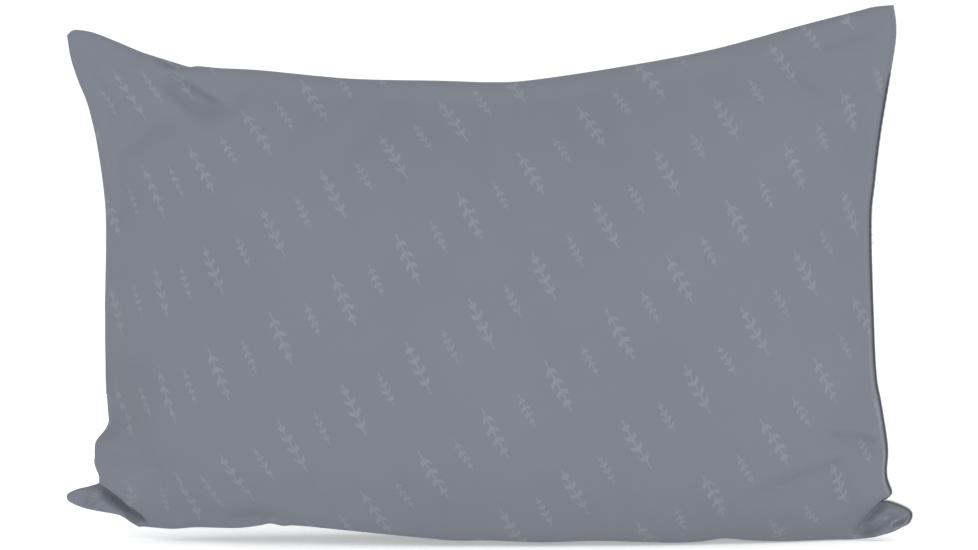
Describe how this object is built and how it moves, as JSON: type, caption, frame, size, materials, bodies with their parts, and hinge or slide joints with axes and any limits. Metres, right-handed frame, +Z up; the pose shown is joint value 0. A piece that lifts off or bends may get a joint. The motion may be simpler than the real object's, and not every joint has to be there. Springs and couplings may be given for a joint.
{
  "type": "camp pillow",
  "caption": "Small plump camp pillow: two cloth panels with turned-in edges, fibre fill, seam threads, a dark overlocked closing edge and a blank care label that flips.",
  "frame": {"origin": "centre of the footprint on the ground, with the pillow standing on its long lower edge", "axes": "+X to the right as seen from the front, along the long edge; +Y from the front panel to the back panel; +Z up"},
  "size_m": [0.6098, 0.15, 0.3852],
  "materials": {
    "face_fabric": "brushed polyester",
    "back_fabric": "brushed polyester",
    "fibre": "loose polyester fibre",
    "seam_thread": "polyester thread",
    "closing_thread": "polyester overlock thread",
    "label": "woven tape"
  },
  "bodies": {
    "pillow": {"front_panel": "face_fabric", "back_panel": "back_fabric", "fibre_fill": "fibre", "left_seam_thread": "seam_thread", "top_seam_thread": "seam_thread", "bottom_seam_thread": "seam_thread", "inner_overlock_thread": "seam_thread", "closing_edge_thread": "closing_thread"},
    "label": {"care_label": "label"}
  },
  "joints": [
    {"name": "care_label_flip", "type": "hinge", "parent": "pillow", "child": "label", "pos_m": [-0.2774, 0, 0.135], "axis": [0, 0, 1], "range_deg": [0, 250]}
  ]
}
